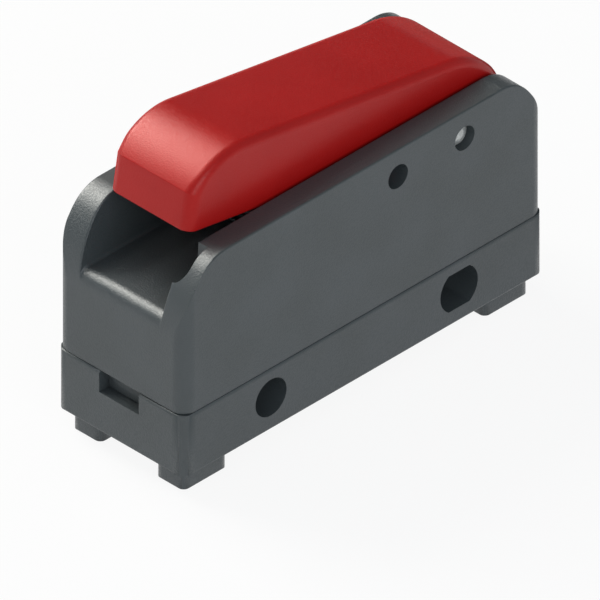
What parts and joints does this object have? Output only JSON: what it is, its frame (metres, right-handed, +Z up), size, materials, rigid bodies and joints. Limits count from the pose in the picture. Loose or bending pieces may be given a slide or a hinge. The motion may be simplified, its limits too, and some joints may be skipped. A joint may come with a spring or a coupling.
{
  "type": "push-button micro switch",
  "caption": "Snap-action micro switch in a dark grey two-part case with cross mounting holes, worked by a long red rocking button hinged at one end.",
  "frame": {"origin": "middle of the case, in the plane of the feet's soles", "axes": "+X along the case away from the button's nose, +Y across it, +Z up from the soles"},
  "size_m": [0.049, 0.0176, 0.0346],
  "materials": {
    "case": "fine-grained matte dark grey moulding",
    "button": "satin red moulding",
    "plunger": "natural moulding",
    "steel": "bright steel",
    "brass": "rolled strip",
    "copper": "rolled copper alloy strip",
    "silver": "silver contact face"
  },
  "bodies": {
    "case": {"base": "case", "upper_housing": "case", "pivot_pin": "steel", "return_spring": "steel", "spring_anchor": "steel", "anchor_rivet": "brass", "common_terminal": "brass", "open_terminal": "brass", "closed_terminal": "brass", "open_contact": "silver", "closed_contact": "silver", "common_clamp": "steel", "open_clamp": "steel", "closed_clamp": "steel", "terminal_screws": "steel"},
    "button": {"rocker_button": "button"},
    "plunger": {"plunger": "plunger"},
    "arm": {"contact_arm": "copper", "moving_contact": "silver", "snap_spring": "steel"}
  },
  "joints": [
    {"name": "button_press", "type": "hinge", "parent": "case", "child": "button", "pos_m": [0.01358, 0, 0.0234], "axis": [0, -1, 0], "range_deg": [0, 9.6], "stiffness_Nm_per_rad": 0.4, "springref_deg": -8.59, "deforming": ["return_spring"]},
    {"name": "plunger_slide", "type": "slide", "parent": "case", "child": "plunger", "axis": [0, 0, -1], "range_m": [0, 0.0007719]},
    {"name": "arm_swing", "type": "hinge", "parent": "case", "child": "arm", "pos_m": [-0.0096, 0, 0.01355], "axis": [0, 1, 0], "range_deg": [0, 2.43]}
  ],
  "couplings": [
    {"joint": "plunger_slide", "follows": "button_press", "m_per_rad": 0.0046065},
    {"joint": "arm_swing", "follows": "button_press", "ratio": 0.25346}
  ]
}
